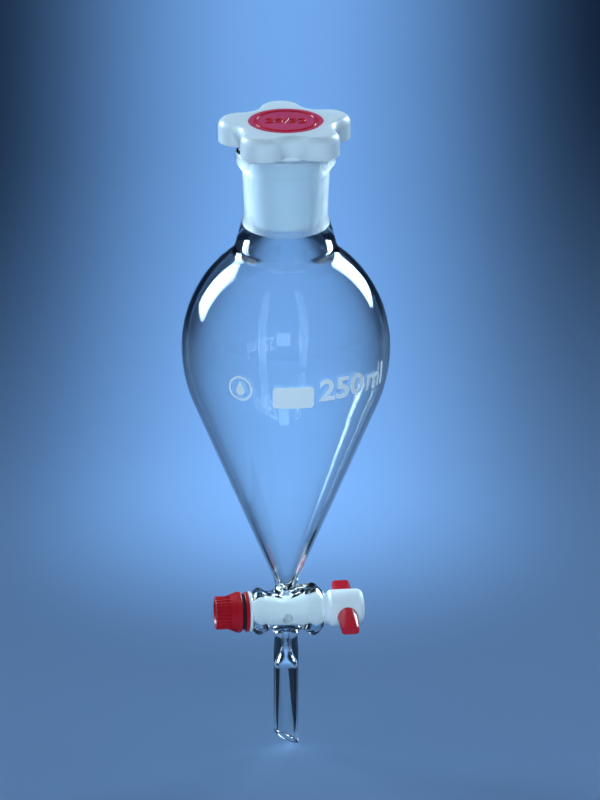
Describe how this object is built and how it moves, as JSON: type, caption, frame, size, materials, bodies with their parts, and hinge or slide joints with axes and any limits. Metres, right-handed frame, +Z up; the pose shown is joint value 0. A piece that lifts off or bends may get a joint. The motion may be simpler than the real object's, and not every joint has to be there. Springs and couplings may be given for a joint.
{
  "type": "separatory funnel",
  "caption": "Pear-shaped glass separatory funnel with a ground socket, a lobed plastic stopper, a horizontal stopcock with lever and tension nut, and a slant-cut drain stem.",
  "frame": {"origin": "on the funnel's axis, level with the lowest point of the drain stem's tip", "axes": "+Z up along the funnel's axis, +X along the stopcock's axis towards its lever"},
  "size_m": [0.08, 0.08, 0.2551],
  "materials": {
    "borosilicate_glass": "clear, fire-polished; ground inside the socket",
    "ptfe": "smooth waxy white",
    "white_polyethylene": "translucent milky white, moulded",
    "red_disc": "glossy",
    "red_lever": "satin moulded",
    "dark_red_nut": "satin moulded",
    "black_rubber": "matt"
  },
  "bodies": {
    "funnel": {"pear_bulb": "borosilicate_glass", "ground_socket": "borosilicate_glass", "stopcock_barrel": "borosilicate_glass", "drain_stem": "borosilicate_glass"},
    "stopper": {"stopper": "white_polyethylene", "stopper_disc": "red_disc"},
    "key": {"ptfe_key": "ptfe", "lever": "red_lever"},
    "washers": {"face_washer": "ptfe", "pressure_washer": "dark_red_nut", "rubber_ring": "black_rubber"},
    "nut": {"tension_nut": "dark_red_nut"}
  },
  "joints": [
    {"name": "stopper_lift", "type": "slide", "parent": "funnel", "child": "stopper", "axis": [0, 0, 1], "range_m": [0, 0.06]},
    {"name": "key_turn", "type": "hinge", "parent": "funnel", "child": "key", "pos_m": [0, 0, 0.0559], "axis": [1, 0, 0], "continuous": true},
    {"name": "washer_slide", "type": "slide", "parent": "key", "child": "washers", "axis": [-1, 0, 0], "range_m": [0, 0.0075]},
    {"name": "nut_turn", "type": "hinge", "parent": "washers", "child": "nut", "pos_m": [-0.0225, 0, 0.0559], "axis": [-1, 0, 0], "range_deg": [0, 2165]}
  ],
  "couplings": [
    {"joint": "nut_turn", "follows": "washer_slide", "rad_per_m": 5026.5}
  ]
}
